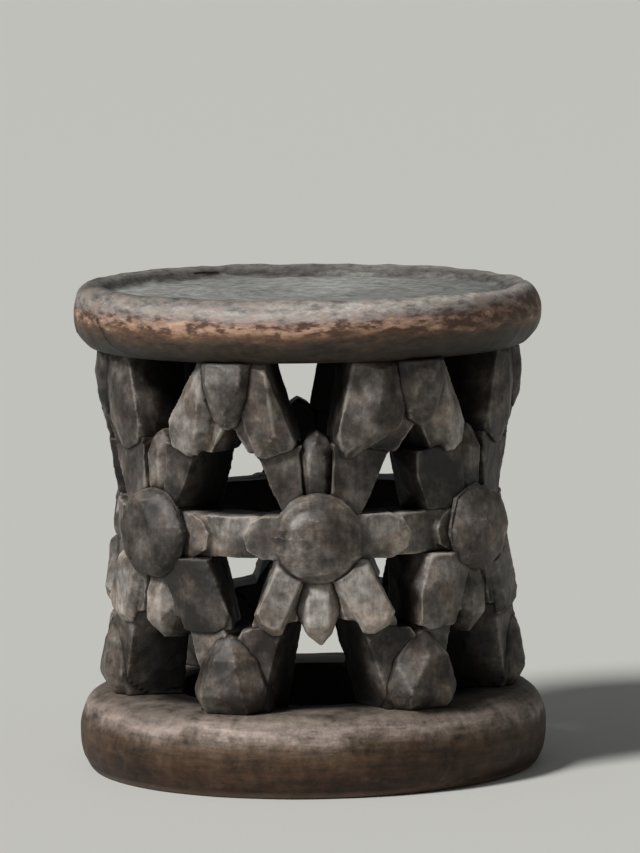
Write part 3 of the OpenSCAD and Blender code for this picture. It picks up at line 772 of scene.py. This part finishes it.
def domed(points, out, free):
    """Rounds the face of a body, lower by the square of the way out from its middle. The front body
    keeps its edge as a lip, by a groove round its upper left, and the others have a slant cut."""
    facing = points.mean(axis=0) * (1, 1, 0)
    facing /= np.linalg.norm(facing)
    across = points @ (-facing[1], facing[0], 0)
    up = points[:, 2] - spider_z
    reach = np.hypot(across, up)
    face = fade(points @ facing, strut_r + 3, strut_r + 9) * free
    drop = body_dome * (reach / body_r) ** 2
    slant = slant_up * up - slant_across * across * np.sign(facing[0]) - slant_start
    drop += np.maximum(0, slant)
    if facing[1] < -0.99:
        turn = np.degrees(np.arctan2(up, across)) % 360
        upper_left = fade(turn, 30, 70) * fade(turn, 225, 185)
        drop = front_dome * (reach / body_r) ** 2 * (1 - 0.5 * upper_left)
        drop += groove * upper_left * bell(reach, lip_r, 3)
    return points - (face * drop)[:, None] * facing


for k, pale in enumerate(body_pale, 1):
    node = f"spider_{k}_body"
    stroke = level_strokes if k == 1 else round_strokes
    mesh = carve(node, [pale], stroke=stroke, deep=body_deep, shape=domed)
    put_in_scene(mesh, lattice_wood, node)

# Heads and tails. A bud over and a bud under each body, cut from the same wood with the knife, with
# flat faces: the tails are rubbed pale by hands and feet, and the heads stay darker.

head_pale = [0.19, 0.2, 0.3, 0.3, 0.3, 0.3]
tail_pale = [0.9, 0.4, 0.5, 0.4, 0.5, 0.7]
for k, (head, tail) in enumerate(zip(head_pale, tail_pale), 1):
    for node, pale in [(f"spider_{k}_head", head), (f"spider_{k}_tail", tail)]:
        put_in_scene(carve(node, [pale]), lattice_wood, node)

# Legs. Four to a spider, cut from the same wood: two straight struts up to the limbs from the seat,
# and two leaves down over the limbs from the base. The leaves' outer faces are rubbed pale.

front_leg_raised = 1.4
leg_raised = 1.1
# Where the leaves lie back they are painted darker as shade.
leaf_recess_shade = 0.6
upper_pale = [[0.1, 0.15], [0.02, 0.15], [0.2, 0.15], [0.15, 0.2], [0.15, 0.2], [0.25, 0.14]]
# The sixth spider's right leaf is set to 0, the darkest, as painted shade.
lower_pale = [[0.6, 1.05], [0.44, 0.4], [0.45, 0.35], [0.4, 0.5], [0.35, 0.45], [0.62, 0.0]]
for k, (upper, lower) in enumerate(zip(upper_pale, lower_pale), 1):
    raised = front_leg_raised if k == 1 else leg_raised
    for node, pale, recess_shade in [(f"spider_{k}_upper_legs", upper, 0),
                               (f"spider_{k}_lower_legs", lower, leaf_recess_shade)]:
        put_in_scene(carve(node, pale, recess_shade, raised), lattice_wood, node)

# Half spiders. Between the spiders, a body with two limbs hangs from the seat and another stands
# on the base, all of the same wood; the standing bodies are rounded where they meet the base.

base_top = 61
foot_body_top = 120
foot_round = 18
drawn_in = 0.24
front_limb_raised = 1.8
limb_raised = 1.15
foot_share = 0.75
# Where the half spiders lie back they are painted darker as shade.
seat_recess_shade = 0.5
foot_recess_shade = 0.3


def rounded_under(points, out, free):
    """Draws the lowest part of a body's outer face in towards its middle, more the nearer it is to
    the base. The limbs, which reach higher than a body, stay as they are."""
    if points[:, 2].max() > foot_body_top:
        return points
    near = fade(points[:, 2], base_top + foot_round, base_top) ** 2
    reach = np.hypot(points[:, 0], points[:, 1])
    near = near * fade(reach, strut_r - 2, strut_r + 4) * np.maximum(free, points[:, 2] < base_top + 3)
    middle = points.mean(axis=0)
    return points + (drawn_in * near)[:, None] * (middle - points) * (1, 1, 0)


seat_pale = [[0.68, 0.34, 0.3], [0.3, 0.14, 0.75], [0.2, 0.2, 0.2],
             [0.3, 0.2, 0.3], [0.2, 0.3, 0.2], [0.22, 0.2, 0.2]]
foot_pale = [[0.6, 0.17, 0.22], [0.3, 0.2, 0.35], [0.3, 0.3, 0.4],
             [0.4, 0.3, 0.4], [0.3, 0.4, 0.3], [0.4, 0.3, 0.3]]
for k, (upper, lower) in enumerate(zip(seat_pale, foot_pale), 1):
    raised = front_limb_raised if k < 3 else limb_raised
    node = f"seat_half_spider_{k}"
    put_in_scene(carve(node, upper, seat_recess_shade, raised), lattice_wood, node)
    node = f"foot_half_spider_{k}"
    mesh = carve(node, lower, foot_recess_shade, foot_share * raised, shape=rounded_under)
    put_in_scene(mesh, lattice_wood, node)
bpy.data.objects.remove(neighbours)

# Studio. A pale floor and a camera at the photograph's place, 4 m away and a little above the
# seat, with a soft light from the upper left.

floor_half = 30
floor_mesh = bpy.data.meshes.new("floor")
floor_mesh.from_pydata([(-floor_half, -floor_half, 0), (floor_half, -floor_half, 0),
                        (floor_half, floor_half, 0), (-floor_half, floor_half, 0)], [], [(0, 1, 2, 3)])
floor = bpy.data.objects.new("floor", floor_mesh)
bpy.context.scene.collection.objects.link(floor)

# Matt paint: even and without gloss, so that the eye sees only the stool and its shadow.
floor_paint, tree, surface = new_finish("pale matt floor")
surface.inputs["Base Color"].default_value = linear("#d5d4ce")
surface.inputs["Roughness"].default_value = 0.9
floor_mesh.materials.append(floor_paint)

camera_place = (0.0083, -4.0, 0.675)
camera_pitch = math.radians(5.94)
camera_roll = math.radians(-0.88)
focus_in_pixels = 5260
picture_height = 853
sensor = 36

camera = bpy.data.objects.new("camera", bpy.data.cameras.new("camera"))
bpy.context.scene.collection.objects.link(camera)
camera.data.lens = focus_in_pixels / picture_height * sensor
camera.location = camera_place
camera.rotation_mode = "QUATERNION"
aim = Matrix.Rotation(math.pi / 2 - camera_pitch, 4, "X") @ Matrix.Rotation(camera_roll, 4, "Z")
camera.rotation_quaternion = aim.to_quaternion()
bpy.context.scene.camera = camera

light_from = Vector((-0.7, -0.58, 0.85))
light = bpy.data.objects.new("window light", bpy.data.lights.new("window light", "SUN"))
bpy.context.scene.collection.objects.link(light)
light.data.energy = 3.1
light.data.angle = math.radians(14)
light.rotation_mode = "QUATERNION"
light.rotation_quaternion = light_from.to_track_quat("Z", "Y")

world = bpy.data.worlds.new("room light")
world.use_nodes = True
world.node_tree.nodes["Background"].inputs["Color"].default_value = linear("#dfe3e2")
world.node_tree.nodes["Background"].inputs["Strength"].default_value = 0.2
bpy.context.scene.world = world
bpy.context.scene.view_settings.view_transform = "Standard"
